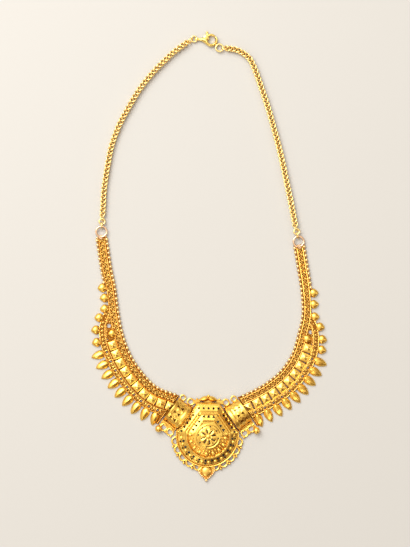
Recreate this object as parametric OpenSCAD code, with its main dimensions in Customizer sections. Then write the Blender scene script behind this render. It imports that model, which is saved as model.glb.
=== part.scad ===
// Gold collar necklace, lying flat on its back with the clasp at the top.
// Two curved wings of beaded band run down to a pierced domed centre, whose
// corners carry a half-round sleeve each. A round link chain and a lever
// clasp close the loop behind the neck. X runs to the right, Y towards the
// clasp, Z up, and the surface that it lies on is Z = 0.

/* [Wings] */
// Radius of a grain bead on a wing's edge
bead_r = 0.68; // [0.55:0.01:0.7]
// Spacing of the grain beads
bead_pitch = 2.16; // [2.1:0.02:2.4]
// Thickness of the base plate
plate_t = 0.8; // [0.7:0.05:0.9]
// Distance between the two bead rows of the upper band
band_w = 4.5; // [4.3:0.1:4.7]
// Side of a stamped square
square_w = 4.1; // [3.6:0.1:4.1]
// Spacing of the squares along their own row
square_pitch = 4.55; // [4.5:0.05:4.6]
// Height of a stamped square
square_h = 1.9; // [1.5:0.1:2.2]
// Distance of the row of squares from the inner beads
square_d = 5.9; // [5.8:0.1:6]
// Spacing of the leaves along their own row
leaf_pitch = 5.1; // [4.9:0.1:5.2]
// Half length of a leaf
leaf_half = 3.4; // [3:0.1:3.6]
// Half width of a leaf
leaf_side = 1.95; // [1.7:0.05:2]
// Height of a leaf's ridge
leaf_h = 1.9; // [1.5:0.1:2.2]
// Distance of the middle of the leaves from the inner beads
leaf_d = 13.7; // [13.5:0.1:14]
// Radius of a round stud on the outer edge
stud_r = 2; // [1.8:0.05:2]
// Mean radius of the ring at a wing's upper end
end_ring_r = 2.45; // [2.4:0.05:2.5]
// Wire radius of that ring
end_ring_wire = 0.44; // [0.4:0.01:0.44]

/* [Centre] */
// Height of the dome
dome_h = 7; // [6:0.25:8]
// Radius of the sphere that the dome is cut from
dome_r = 21.5; // [21:0.5:24]
// Thickness of the dome's sheet
dome_t = 0.7; // [0.5:0.05:0.8]
// Radius of the round frame under the dome
frame_r = 14.6; // [14.4:0.1:14.7]
// Distance of the straight shoulders from the middle
shoulder_d = 13.2; // [13:0.1:13.2]
// Distance of the straight top edge from the middle
top_d = 15.3; // [15:0.1:15.4]
// Angle between two wire loops of the border
loop_step = 15.8; // [15:0.1:16]
// Outer radius of a wire loop
loop_r = 2.3; // [2.2:0.05:2.35]
// Radius of the opening in a wire loop
loop_hole_r = 1.3; // [1.1:0.05:1.4]
// Number of petals in the flower
petals = 8; // [6:1:10]

/* [Sleeves] */
// Outer radius of a half-round sleeve
sleeve_r = 6.1; // [5.9:0.05:6.2]
// Length of a sleeve
sleeve_len = 8; // [7.6:0.1:8]
// Thickness of its sheet
sleeve_t = 0.6; // [0.5:0.05:0.7]

/* [Chain] */
// Mean radius of a chain link
link_r = 1.3; // [1.28:0.01:1.32]
// Wire radius of a chain link
link_wire = 0.29; // [0.2:0.01:0.29]
// Distance from link to link, fitted to the chain's length
link_pitch = 1.02; // [1.02:0.01:1.06]

/* [Clasp] */
// Outer radius of the clasp's round hook
hook_r = 3.05; // [3:0.05:3.1]
// Radius of the space inside the hook
hook_hole_r = 1.85; // [1.8:0.05:1.9]
// Thickness of the hook
hook_t = 2.2; // [2.2:0.1:2.4]
// Thickness of the lever
lever_t = 1.04; // [0.9:0.02:1.04]
// Radius of the rivet that the lever turns on
rivet_r = 0.4; // [0.35:0.05:0.4]

/* [Hidden] */

fine = 48;
eps = 0.01;
gold = [0.93, 0.66, 0.2];
rose = [0.87, 0.55, 0.38];

// Moves the whole necklace so that its middle is at the origin
middle_shift = [-1.5, -0.2];
function placed(points) = [for (p = points) p + middle_shift];

// Routes, as points chosen by hand. The inner bead row of each wing runs from
// its upper end to the centre, and each chain from the clasp to its wing.
wing_route_left = placed([[-47, 9.5], [-45, -4.5], [-43, -14.5], [-41.5, -26],
                   [-39.5, -36], [-36, -45.5], [-30.5, -54], [-23.5, -61],
                   [-15, -64.5], [-6.5, -68]]);
wing_route_right = placed([[41.5, 5.5], [43.5, -6.5], [45, -16.5], [45.5, -27],
                    [43.5, -36.5], [40.5, -46], [35, -54], [27.5, -60],
                    [19, -64.5], [10.5, -68]]);
chain_route_left = placed([[-6, 102.2], [-8.5, 101], [-12, 98.5], [-17, 94.5],
                    [-24.5, 87], [-31, 79], [-36.5, 70], [-41, 61.5],
                    [-44.5, 52], [-46.5, 42], [-48, 32], [-48.5, 24],
                    [-49, 16.5]]);
chain_route_right = placed([[6, 98.2], [9.5, 98], [15, 97], [20, 93.5], [23, 87.5],
                     [26, 79], [29, 70], [32, 59.5], [35, 48],
                     [37.5, 36.5], [40, 24.5], [42.5, 12]]);

// A smooth curve through the points, and the tables that find a spot on it by
// its distance along the curve.
steps = 8;
function between(a, b, c, d, t) = 0.5 * (2 * b + (c - a) * t
    + (2 * a - 5 * b + 4 * c - d) * t * t
    + (3 * b - a - 3 * c + d) * t * t * t);
function smooth(p) = let (n = len(p) - 1,
    q = concat([2 * p[0] - p[1]], p, [2 * p[n] - p[n - 1]]))
    concat([for (i = [1 : n], k = [0 : steps - 1])
        between(q[i - 1], q[i], q[i + 1], q[i + 2], k / steps)], [p[n]]);
function run(p) = [for (i = 0, s = 0; i < len(p);
    s = s + (i + 1 < len(p) ? norm(p[i + 1] - p[i]) : 0), i = i + 1) s];
function line_table(d) = let (s = run(d), n = len(d) - 1)
    [[for (i = [0 : n]) [s[i], d[i].x]], [for (i = [0 : n]) [s[i], d[i].y]], s[n]];
function curve_table(p) = line_table(smooth(p));
function spot(c, s) = [lookup(s, c[0]), lookup(s, c[1])];
function heading(c, s) = let (v = spot(c, s + 0.2) - spot(c, s - 0.2))
    atan2(v.y, v.x);
function beside(c, s, d, side) = let (a = heading(c, s) + side * 90)
    spot(c, s) + d * [cos(a), sin(a)];
function row_table(c, d, from, to, side) =
    line_table([for (s = [from : 1 : to]) beside(c, s, d, side)]);

left_curve = curve_table(wing_route_left);
right_curve = curve_table(wing_route_right);

// Places shared by the pieces
centre_at = [0.35, -83.8] + middle_shift;
centre_turn = -1.5;
sleeve_turn = 35.5;
sleeve_from = 13.5;
sleeve_to = sleeve_from + sleeve_len;
clasp_at = [2.1, 101.8] + middle_shift;
clasp_turn = -3;
chain_z = 1.24;

module on_centre() {
    translate([centre_at.x, centre_at.y, 0]) rotate(centre_turn) children();
}

// Along a sleeve: X leads away from the centre, Y towards the inner edge.
module on_sleeve(side) {
    on_centre() mirror([side < 0 ? 1 : 0, 0, 0]) rotate(sleeve_turn) children();
}

module ring(r, wire) {
    rotate_extrude($fn = fine) translate([r, 0]) circle(r = wire, $fn = 24);
}

module dome(r, sink) {
    intersection() {
        translate([0, 0, -sink]) sphere(r = r, $fn = fine);
        translate([-r, -r, 0]) cube([2 * r, 2 * r, r]);
    }
}

// Wings

// Columns: distance along the wing, distance of the plate's outer edge
outer_edge = [[0, 4.85], [20.5, 4.85], [22.5, 4.1], [32.5, 4.1], [36.5, 7.6],
              [41, 9.9], [46, 11], [50, 11.3], [130, 11.3]];
// Columns: distance along the wing and outwards of each round stud
stud_spots = [[23.3, 5.7], [28.4, 5.4], [33.4, 5.9], [36.9, 9.1], [41.9, 11.6],
              [46.6, 12.6]];
// Distances along the left and the right wing of the stud in the fork, of the
// first square and of the first leaf. The two wings aren't quite alike.
fork_s = [44.8, 43.6];
first_square_s = [49.75, 47.55];
first_leaf_s = [51.5, 51.1];
// Columns: distance on from the stud in the fork, distance outwards, radius
fork_gaps = [[-3.6, 5.3, 1], [1.8, 7.5, 0.55]];
outer_bead_count = 10;
bead_z = 0.85;
square_count = 10;
leaf_count = 9;

function of_wing(values, side) = values[side < 0 ? 0 : 1];

function plate_outline(c, side) = let (end = wing_end(c)) concat(
    [for (s = [0 : 3 : end]) beside(c, s, -0.35, side)],
    [for (s = [end : -3 : 0]) beside(c, s, lookup(s, outer_edge), side)]);

module at_wing(c, s, d, side) {
    p = beside(c, s, d, side);
    translate([p.x, p.y, 0]) rotate(heading(c, s) + side * 90) children();
}

module slope_bar(top_w) {
    w = square_w / 2;
    rotate([90, 0, 0]) linear_extrude(square_w + 1, center = true)
        polygon([[-w, 0.3], [w, 0.3], [w, 0.9], [top_w, square_h],
                 [-top_w, square_h], [-w, 0.9]]);
}

// Stamped square: a low hipped pillow with a flat top
module stamped_square() {
    intersection() {
        slope_bar(0.8);
        rotate(90) slope_bar(0.8);
    }
}

// Leaf: pointed at both ends, with a ridge along it
module leaf() {
    big = (leaf_half * leaf_half + leaf_side * leaf_side) / (2 * leaf_side);
    shift = big - leaf_side;
    intersection() {
        translate([0, shift, 0]) cylinder(r = big, h = 3, $fn = fine);
        translate([0, -shift, 0]) cylinder(r = big, h = 3, $fn = fine);
        rotate([90, 0, 90]) linear_extrude(2 * leaf_half + 1, center = true)
            polygon([[-2.5, 0.1], [2.5, 0.1], [2.5, 0.45], [0, leaf_h],
                     [-2.5, 0.45]]);
    }
}

// The sleeve's walls and the centre need their own room.
module wing_room(side) {
    far = 30;
    on_sleeve(side) {
        translate([-far + sleeve_to + 0.3, -far, -1]) difference() {
            cube([far, 2 * far, 5]);
            translate([-1, far - 4.6, -1]) cube([far + 2, 9.2, 7]);
        }
        translate([sleeve_from - far, -5, -1]) cube([far, 10, 5]);
    }
}

function wing_end(c) = c[2] - 0.5;
function square_table(c, side) =
    row_table(c, square_d, of_wing(first_square_s, side), wing_end(c), side);
function leaf_table(c, side) =
    row_table(c, leaf_d, of_wing(first_leaf_s, side), wing_end(c), side);

module along(row, s, side) {
    p = spot(row, s);
    translate([p.x, p.y, 0]) rotate(heading(row, s) + side * 90) children();
}

module wing_plate(c, side) {
    squares = square_table(c, side);
    leaves = leaf_table(c, side);
    difference() {
        linear_extrude(plate_t) polygon(plate_outline(c, side));
        for (g = fork_gaps) at_wing(c, of_wing(fork_s, side) + g[0], g[1], side)
            translate([0, 0, -1]) cylinder(r = g[2], h = 3, $fn = 24);
        for (k = [0 : square_count - 2])
            along(squares, (k + 0.5) * square_pitch, side)
                translate([-1.5, -0.15, -1]) cube([3, 0.3, 3]);
        for (k = [0 : leaf_count - 1]) along(leaves, k * leaf_pitch, side)
            translate([9.5 - leaf_d, 0, -1]) cylinder(r = 0.45, h = 3, $fn = 16);
    }
}

// Beside the sleeve the plate reaches further out, to the flange's corner.
module wing_corner(side) {
    on_sleeve(side) translate([sleeve_to, 0, 0]) linear_extrude(plate_t)
        polygon([[0, -4.5], [0, -9.6], [1.3, -9.8], [2.6, -8], [3, -4.5]]);
}

module wing_caps(c, side) {
    squares = square_table(c, side);
    leaves = leaf_table(c, side);
    for (k = [0 : square_count - 1]) along(squares, k * square_pitch, side)
        stamped_square();
    for (k = [0 : leaf_count - 1]) along(leaves, k * leaf_pitch, side) leaf();
}

module bead_rows(c, side) {
    bead_row_end = 85;
    first = 1.3;
    for (s = [first : bead_pitch : bead_row_end]) at_wing(c, s, 0, side)
        translate([0, 0, bead_z]) sphere(r = bead_r, $fn = 24);
    for (k = [0 : outer_bead_count - 1])
        at_wing(c, first + k * bead_pitch, band_w, side)
            translate([0, 0, bead_z]) sphere(r = bead_r, $fn = 24);
}

module studs(c, side) {
    for (p = stud_spots) at_wing(c, p[0], p[1], side)
        translate([0, 0, 0.15]) dome(stud_r, 0.1);
    at_wing(c, of_wing(fork_s, side), 4.6, side)
        translate([0, 0, 0.3]) dome(stud_r, 0.2);
}

module wing(c, side) {
    color(gold) {
        difference() {
            union() {
                wing_plate(c, side);
                wing_corner(side);
                wing_caps(c, side);
            }
            wing_room(side);
        }
        bead_rows(c, side);
        studs(c, side);
    }
}

// The ring is soldered to a post on the wing's upper end.
module wing_ring(route_end, turn) {
    reach = 2.3 + end_ring_r;
    translate([route_end.x, route_end.y, 0]) rotate(turn) translate([reach, 0, 0]) {
        color(rose) translate([0, 0, 1.45]) ring(end_ring_r, end_ring_wire);
        color(gold) translate([end_ring_r, 0, 0.2]) cylinder(r = 0.95, h = 1.35, $fn = 24);
    }
}

chain_curve_left = curve_table(chain_route_left);
chain_curve_right = curve_table(chain_route_right);
left_end_turn = heading(chain_curve_left, chain_curve_left[2] - 0.3);
right_end_turn = heading(chain_curve_right, chain_curve_right[2] - 0.3);

module wing_left() {
    wing(left_curve, -1);
    wing_ring(chain_route_left[len(chain_route_left) - 1], left_end_turn);
}

module wing_right() {
    wing(right_curve, 1);
    wing_ring(chain_route_right[len(chain_route_right) - 1], right_end_turn);
}

// Centre

function dome_z(r) = sqrt(dome_r * dome_r - r * r) - dome_r + dome_h;

// The rim's outline: round below, with three straight sides above
module frame_block(cut, h) {
    a = shoulder_d - cut;
    t = top_d - cut;
    corner = (a - t * sin(sleeve_turn)) / cos(sleeve_turn);
    far = 9;
    side_x = a * cos(sleeve_turn) + far * sin(sleeve_turn);
    side_y = a * sin(sleeve_turn) - far * cos(sleeve_turn);
    intersection() {
        union() {
            cylinder(r = frame_r - cut, h = h, $fn = fine);
            linear_extrude(h) polygon([[9, 17], [12, 4], [-12, 4], [-9, 17]]);
        }
        translate([0, 0, -1]) linear_extrude(h + 2)
            polygon([[corner, t], [side_x, side_y], [20, -20], [-20, -20],
                     [-side_x, side_y], [-corner, t]]);
    }
}

// The dome is open below, and its sheet runs down to the rim all round.
module dome_sheet() {
    difference() {
        intersection() {
            translate([0, 0, dome_h - dome_r]) sphere(r = dome_r, $fn = 96);
            frame_block(0.4, dome_h + 1);
        }
        intersection() {
            translate([0, 0, dome_h - dome_r]) sphere(r = dome_r - dome_t, $fn = 96);
            translate([0, 0, -1]) frame_block(1.05, dome_h + 2);
        }
    }
}

module triangle_hole(size) {
    translate([0, 0, -1]) cylinder(r = size, h = dome_h + 3, $fn = 3);
}

// Two rows of holes stand along each of the three straight sides.
// Columns: turn, distance and middle of the triangles, the same of the round
// holes
hole_rows = [[sleeve_turn, 7.6, 0.8, 11.4, -0.8], [90, 9.2, 0, 13, 0],
             [180 - sleeve_turn, 7.6, -0.8, 11.4, 0.8]];
hole_pitch = 2.3;

module side_holes() {
    for (row = hole_rows) rotate(row[0]) {
        for (k = [-1 : 1]) translate([row[1], row[2] + hole_pitch * k, 0])
            rotate(k * 60 + 60) triangle_hole(0.9);
        for (k = [-2 : 2]) translate([row[3], row[4] + hole_pitch * k, -1])
            cylinder(r = 0.5, h = dome_h + 3, $fn = 16);
    }
}

module petal_slots() {
    for (k = [0 : petals - 1]) rotate((k + 0.5) * 360 / petals + 10)
        translate([1.6, -0.32, 3]) cube([1.9, 0.64, dome_h]);
}

// Pairs of holes stand round the lower band. The middle pair is a little left
// of the drop.
band_hole_pitch = 14.8;
band_hole_turn = 266.2;

module band_holes() {
    for (k = [-5 : 6]) rotate(band_hole_turn + k * band_hole_pitch) {
        translate([11.6, 0, -1]) cylinder(r = 0.6, h = dome_h + 3, $fn = 16);
        translate([13, 0, -1]) cylinder(r = 0.5, h = dome_h + 3, $fn = 16);
    }
}

module wire_loop() {
    difference() {
        translate([0, 0, 0.1]) cylinder(r = loop_r, h = 0.85, $fn = 32);
        translate([0, 0, -1]) cylinder(r = loop_hole_r, h = 3, $fn = 32);
    }
}

// Loops stand round the lower half, with a bead between each two, and one
// at each upper corner beside the sleeve.
module border_loops() {
    loop_at = 15;
    for (k = [-5 : 5]) if (k != 0) rotate(270 + k * loop_step)
        translate([loop_at, 0, 0]) difference() {
            wire_loop();
            translate([-5, -3, -1]) cube([3.2, 6, 4]);
        }
    for (m = [0, 1]) mirror([m, 0, 0]) rotate(sleeve_turn) difference() {
        translate([15.85, 7.95, 0.1]) cylinder(r = 2, h = 0.85, $fn = 32);
        translate([15.85, 7.95, -1]) cylinder(r = 1, h = 3, $fn = 32);
        translate([shoulder_d - 0.3, -12, -1]) cube([9, 12 + sleeve_r + 0.55, 4]);
    }
    for (k = [-4.5 : 1 : 4.5]) if (abs(k) > 1) rotate(270 + k * loop_step)
        translate([loop_at + 1.7, 0, 0.75]) sphere(r = 0.62, $fn = 24);
}

// A narrow strip joins the corner loops, and two leaves meet on it below a
// round knob.
module top_ornament() {
    linear_extrude(0.9) polygon([[-6.9, 14.6], [6.9, 14.6], [6.8, 16.3], [4.4, 17],
                                 [-4.4, 17], [-6.8, 16.3]]);
    for (x = [-5.3, 5.3]) translate([x, 16.9, 0.8]) sphere(r = 0.58, $fn = 24);
    intersection() {
        linear_extrude(3) polygon([[-4.1, 15.7], [4.1, 15.7], [3.4, 17.3], [0, 18.4],
                                   [-3.4, 17.3]]);
        rotate([90, 0, 0]) translate([0, 0, -20]) linear_extrude(10)
            polygon([[-5, 0.1], [5, 0.1], [5, 1.2], [0, 2.6], [-5, 1.2]]);
    }
    translate([0, 18.4, 0.95]) sphere(r = 0.75, $fn = 24);
}

module drop() {
    edge = [[3.4, -17.3], [2.2, -18.8], [1.1, -20]];
    linear_extrude(plate_t) polygon([[3.9, -13.6], [3.9, -15.8], [2.8, -18.2],
        [0, -20.6], [-2.8, -18.2], [-3.9, -15.8], [-3.9, -13.6]]);
    translate([0, -16.7, 0.4]) dome(3.1, 1.4);
    for (p = edge, m = [-1, 1]) translate([m * p.x, p.y, 0.8])
        sphere(r = 0.55, $fn = 24);
    translate([0, -20.9, 0.8]) sphere(r = 0.7, $fn = 24);
}

// Large grains stand round the lower half of the flower.
petal_grain_at = 8.1;
petal_grain_pitch = 22.5;
petal_grain_turn = 265.5;

module centre() {
    color(gold) on_centre() {
        difference() {
            union() {
                difference() {
                    frame_block(0, 1);
                    translate([0, 0, -1]) frame_block(1.6, 3);
                }
                dome_sheet();
                translate([0, 0, dome_z(5.4)]) ring(5.4, 0.35);
                for (k = [-4 : 4]) rotate(petal_grain_turn + k * petal_grain_pitch)
                    translate([petal_grain_at, 0, dome_z(petal_grain_at) - 0.2])
                        sphere(r = 0.8, $fn = 24);
            }
            side_holes();
            petal_slots();
            band_holes();
        }
        border_loops();
        top_ornament();
        drop();
    }
}

// Sleeves

// Columns: distance along the sleeve, angles of the triangles in that row
sleeve_hole_rows = [[3.7, [-31, 0, 30]], [6.05, [-68, -31, 0, 30]]];
outer_loop_t = -9.1;
inner_loop_t = 7.1;

module sleeve(side) {
    color(gold) on_sleeve(side) translate([sleeve_from, 0, 0]) {
        difference() {
            rotate([0, 90, 0]) union() {
                cylinder(r = sleeve_r, h = sleeve_len, $fn = 64);
                cylinder(r = sleeve_r + 0.3, h = 1.9, $fn = 64);
            }
            translate([-1, 0, 0]) rotate([0, 90, 0])
                cylinder(r = sleeve_r - sleeve_t, h = sleeve_len + 2, $fn = 64);
            translate([-1, -8, -8]) cube([sleeve_len + 2, 16, 8]);
            for (row = sleeve_hole_rows, a = row[1])
                translate([row[0], 0, 0]) rotate([-a, 0, 0])
                    translate([0, 0, 3]) cylinder(r = 0.9, h = 5, $fn = 3);
        }
        translate([0.2, -8.3, 0]) cube([sleeve_len - 0.4, 8.3 - sleeve_r + 0.3, 0.7]);
        for (u = [1.6, 5.3]) difference() {
            translate([u, outer_loop_t, 0.1]) cylinder(r = 2, h = 0.85, $fn = 32);
            translate([u, outer_loop_t - 0.35, -1]) cylinder(r = 1.05, h = 3, $fn = 32);
            translate([u - 3, -8, -1]) cube([6, 8, 4]);
        }
        translate([3.45, outer_loop_t - 1.2, 0.7]) sphere(r = 0.62, $fn = 24);
        translate([6.9, outer_loop_t - 1.95, 1.65]) sphere(r = 1.6, $fn = 36);
        translate([7.1, outer_loop_t - 0.2, 0]) cylinder(r = 0.8, h = 0.7, $fn = 24);
        difference() {
            translate([6.6, inner_loop_t, 0.1]) cylinder(r = 2, h = 0.85, $fn = 32);
            translate([6.6, inner_loop_t, -1]) cylinder(r = 1.1, h = 3, $fn = 32);
            translate([3, 0, -1]) cube([7, sleeve_r - 0.2, 4]);
            translate([sleeve_len, 0, -1]) cube([3, 12, 4]);
        }
    }
}

module sleeve_left() {
    sleeve(-1);
}

module sleeve_right() {
    sleeve(1);
}

// Chain

link_roll = 40;
link_lean = 25;
joining_wire = 0.2;

module link_at(c, s, z, roll, lean, r, wire) {
    p = spot(c, s);
    translate([p.x, p.y, z]) rotate([0, 0, heading(c, s)]) rotate([roll, 0, 0])
        rotate([0, -lean, 0]) ring(r, wire);
}

// The links roll to one side and the other in turn and lean on each other,
// and a thinner joining link at each end takes the flat ring there.
module chain(c, first, joining_gap) {
    last = c[2] - 3.4;
    half = floor((last - first) / link_pitch / 2);
    pitch = (last - first) / (2 * half);
    color(gold) {
        for (k = [0 : 2 * half])
            link_at(c, first + k * pitch, chain_z, k % 2 == 0 ? link_roll : -link_roll,
                    link_lean, link_r, link_wire);
        link_at(c, first - joining_gap, chain_z + 0.15, -60, 15, 1.35, joining_wire);
        link_at(c, last + 1.8, chain_z + 0.3, -60, 15, 1.4, joining_wire);
    }
}

module chain_left() {
    chain(chain_curve_left, 3.41, 1.6);
}

module chain_right() {
    chain(chain_curve_right, 3.58, 1.4);
}

flat_link_r = 1.3;
flat_link_wire = 0.38;
flat_link_z = 1.7;

module flat_link(route_end) {
    color(gold) translate([route_end.x, route_end.y, flat_link_z])
        ring(flat_link_r, flat_link_wire);
}

module upright_link(route_end, turn) {
    r = 1.4;
    wire = 0.24;
    color(gold) translate([route_end.x, route_end.y, 0]) rotate(turn)
        translate([1.85, 0, r + wire + eps]) rotate([90, 0, 0]) ring(r, wire);
}

module flat_link_left() {
    flat_link(chain_route_left[len(chain_route_left) - 1]);
}

module flat_link_right() {
    flat_link(chain_route_right[len(chain_route_right) - 1]);
}

module upright_link_left() {
    upright_link(chain_route_left[len(chain_route_left) - 1], left_end_turn);
}

module upright_link_right() {
    upright_link(chain_route_right[len(chain_route_right) - 1], right_end_turn);
}

module eyelet_ring() {
    color(gold) translate([chain_route_left[0].x, chain_route_left[0].y, 1])
        ring(1.35, 0.36);
}

module end_ring() {
    color(gold) translate([chain_route_right[0].x, chain_route_right[0].y, 1.24])
        ring(1.7, 0.4);
}

// Clasp

rivet_at = [-2.15, 1.3];
hook_z = 0.1;
lever_mid = hook_z + hook_t / 2;
slot_t = lever_t + 0.12;
tip_reach = 3.8;
tip_gap = 0.08;

module on_clasp() {
    translate([clasp_at.x, clasp_at.y, 0]) rotate(clasp_turn) children();
}

// The part of the hook's circle that the lever closes
module lever_side(reach, h) {
    intersection() {
        translate([rivet_at.x, rivet_at.y, 0]) cylinder(r = reach, h = h, $fn = fine);
        linear_extrude(h) polygon([[0, 0], [-2.6, 1.1], [-4.5, 2.4], [-4.5, 6],
                                   [4.5, 6], [4.5, 2]]);
    }
}

module clasp_hook() {
    tail = -6.75;
    color(gold) on_clasp() difference() {
        union() {
            translate([0, 0, hook_z]) cylinder(r = hook_r, h = hook_t, $fn = fine);
            translate([rivet_at.x, rivet_at.y, hook_z])
                cylinder(r = 1.05, h = hook_t, $fn = 32);
            translate([0, 0, hook_z]) linear_extrude(1.8)
                polygon([[tail - 0.85, -0.65], [-4.4, -0.65], [-2.6, -1.5],
                         [-2.6, 1.5], [-4.4, 0.65], [tail - 0.85, 0.65]]);
        }
        translate([0, 0, -1]) cylinder(r = hook_hole_r, h = 5, $fn = fine);
        difference() {
            translate([0, 0, -1]) lever_side(tip_reach + tip_gap, 5);
            translate([rivet_at.x, rivet_at.y, -1]) cylinder(r = 1.05, h = 5, $fn = 32);
        }
        translate([rivet_at.x, rivet_at.y, lever_mid - slot_t / 2])
            cylinder(r = 1.35, h = slot_t, $fn = 32);
        translate([rivet_at.x, rivet_at.y, -1])
            cylinder(r = rivet_r + 0.02, h = 5, $fn = 32);
        translate([tail, 0, 1]) rotate([90, 0, 0])
            cylinder(r = 0.65, h = 4, center = true, $fn = 32);
    }
}

module clasp_rivet() {
    color(gold) on_clasp() translate([rivet_at.x, rivet_at.y, hook_z + 0.05])
        cylinder(r = rivet_r, h = hook_t - 0.1, $fn = 32);
}

// The lever is shown closed. It turns inwards on the rivet.
module clasp_lever() {
    root_r = 0.85;
    color(gold) on_clasp() translate([0, 0, lever_mid - lever_t / 2]) difference() {
        union() {
            intersection() {
                difference() {
                    cylinder(r = hook_r - 0.12, h = lever_t, $fn = fine);
                    translate([0, 0, -1]) cylinder(r = hook_hole_r + 0.1, h = 4, $fn = fine);
                }
                lever_side(tip_reach, lever_t);
            }
            translate([rivet_at.x, rivet_at.y, 0])
                cylinder(r = root_r, h = lever_t, $fn = 32);
            translate([-2.1, 3.35, 0]) cylinder(r = 0.6, h = lever_t, $fn = 32);
            linear_extrude(lever_t) polygon([[-2.55, 1.9], [-1.3, 2.4], [-1.6, 3.4],
                                             [-2.5, 3.2]]);
        }
        translate([rivet_at.x, rivet_at.y, -1])
            cylinder(r = rivet_r + 0.05, h = 4, $fn = 32);
    }
}

wing_left();
wing_right();
centre();
sleeve_left();
sleeve_right();
chain_left();
chain_right();
flat_link_left();
flat_link_right();
upright_link_left();
upright_link_right();
eyelet_ring();
end_ring();
clasp_hook();
clasp_rivet();
clasp_lever();
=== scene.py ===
"""Looks of the gold collar necklace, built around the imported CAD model.

The necklace lies on its back, clasp towards +Y. Its sizes are in millimetres
and turn into metres where a mesh is made. The camera, the floor, the lights
and the finishes' depths are in metres.
"""
import math

import bpy
import numpy as np
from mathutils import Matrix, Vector
from mathutils.geometry import delaunay_2d_cdt


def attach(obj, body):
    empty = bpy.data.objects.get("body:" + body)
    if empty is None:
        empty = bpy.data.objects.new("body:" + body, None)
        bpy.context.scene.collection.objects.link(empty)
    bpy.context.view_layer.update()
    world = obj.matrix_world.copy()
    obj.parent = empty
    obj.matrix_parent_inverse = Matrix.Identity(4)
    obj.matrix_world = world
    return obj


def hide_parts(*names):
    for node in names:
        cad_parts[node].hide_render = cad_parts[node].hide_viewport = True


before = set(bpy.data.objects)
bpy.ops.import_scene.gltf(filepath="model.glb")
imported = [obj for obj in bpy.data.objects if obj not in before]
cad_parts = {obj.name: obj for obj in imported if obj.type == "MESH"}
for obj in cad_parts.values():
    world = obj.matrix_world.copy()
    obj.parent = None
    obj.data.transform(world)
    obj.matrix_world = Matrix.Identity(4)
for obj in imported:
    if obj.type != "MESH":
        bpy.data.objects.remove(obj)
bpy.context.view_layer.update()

bpy.context.scene.view_settings.view_transform = "Standard"


# The view. The photograph looks almost straight down on the necklace from
# some way off, a little from its left, so the camera hangs there with a long
# lens.
view_centre = Vector((-0.0022, -0.00796, 0))
view_distance = 0.714
view_lean = math.radians(4.5)
camera_data = bpy.data.cameras.new("top_view")
camera_data.lens = 100
camera_data.sensor_width = 36
camera_data.clip_start = 0.01
camera = bpy.data.objects.new("top_view", camera_data)
towards_camera = Vector((-math.sin(view_lean), 0, math.cos(view_lean)))
camera.location = view_centre + view_distance * towards_camera
camera.rotation_euler = (0, -view_lean, 0)
bpy.context.scene.collection.objects.link(camera)
bpy.context.scene.camera = camera


# The stage. A plain pale table top under a large soft key light from the
# upper left, weaker ones from the right and the front, and a surround that is
# brightest above the upper left and warm and dim towards the horizon.
floor_size, floor_drop = 4, 0.00004
bpy.ops.mesh.primitive_plane_add(size=floor_size, location=(0, 0, -floor_drop))
floor = bpy.context.object
floor.name = "table_top"
floor_paint = bpy.data.materials.new("pale_table")
floor_paint.use_nodes = True
floor_shader = floor_paint.node_tree.nodes["Principled BSDF"]
floor_shader.inputs["Base Color"].default_value = (0.52, 0.515, 0.505, 1)
floor_shader.inputs["Roughness"].default_value = 0.8
floor.data.materials.append(floor_paint)


def soft_light(name, place, size, watts, tint):
    light = bpy.data.lights.new(name, "AREA")
    light.shape = "SQUARE"
    light.size = size
    light.energy = watts
    light.color = tint
    holder = bpy.data.objects.new(name, light)
    holder.location = place
    holder.rotation_euler = (view_centre - Vector(place)).to_track_quat("-Z", "Y").to_euler()
    bpy.context.scene.collection.objects.link(holder)


soft_light("key", place=(-0.36, 0.42, 0.66), size=0.6, watts=8, tint=(1, 0.98, 0.94))
soft_light("fill", place=(0.62, -0.1, 0.42), size=0.22, watts=0.6, tint=(1, 0.97, 0.92))
soft_light("front", place=(-0.2, -0.66, 0.4), size=0.2, watts=0.7, tint=(1, 0.98, 0.95))

surround = bpy.data.worlds.new("studio_surround")
surround.use_nodes = True
sky, sky_links = surround.node_tree.nodes, surround.node_tree.links
direction = sky.new("ShaderNodeTexCoord")
towards_key = sky.new("ShaderNodeVectorMath")
towards_key.operation = "DOT_PRODUCT"
towards_key.inputs[1].default_value = Vector((-0.36, 0.36, 0.86)).normalized()
sky_links.new(direction.outputs["Generated"], towards_key.inputs[0])
brightness = sky.new("ShaderNodeValToRGB")
sky_stops = [(0, (0.12, 0.065, 0.036)), (0.3, (0.27, 0.175, 0.11)), (0.6, (0.6, 0.5, 0.38)),
             (0.85, (0.8, 0.785, 0.73)), (1, (0.985, 1, 0.95))]
for i, (at, colour) in enumerate(sky_stops):
    if i < 2:
        stop = brightness.color_ramp.elements[i]
        stop.position = at
    else:
        stop = brightness.color_ramp.elements.new(at)
    stop.color = (*colour, 1)
sky_links.new(towards_key.outputs["Value"], brightness.inputs["Fac"])
sky_links.new(brightness.outputs["Color"], sky["Background"].inputs["Color"])
sky["Background"].inputs["Strength"].default_value = 1.37
bpy.context.scene.world = surround


# The wings' sheet. Each wing is a curved band of dull gold sheet about half a millimetre thick,
# narrow at its upper end, sawn out and pierced between its squares. The whole sheet, tongue too, is
# coloured much darker as painted shade for the ground that shows between the wires. A plain tongue
# at its wide end runs in under the sleeve.
course_end = 0.5  # what is left free at the end of a row


def smooth_line(points, span_steps=8):
    """A smooth line through points, the same as the CAD source draws."""
    p = [np.array(q, float) for q in points]
    q = [2 * p[0] - p[1]] + p + [2 * p[-1] - p[-2]]
    line = []
    for i in range(1, len(p)):
        a, b, c, d = q[i - 1:i + 3]
        for t in np.arange(span_steps) / span_steps:
            line.append(0.5 * (2 * b + (c - a) * t + (2 * a - 5 * b + 4 * c - d) * t ** 2
                               + (3 * b - a - 3 * c + d) * t ** 3))
    return np.array(line + [p[-1]])


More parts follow.
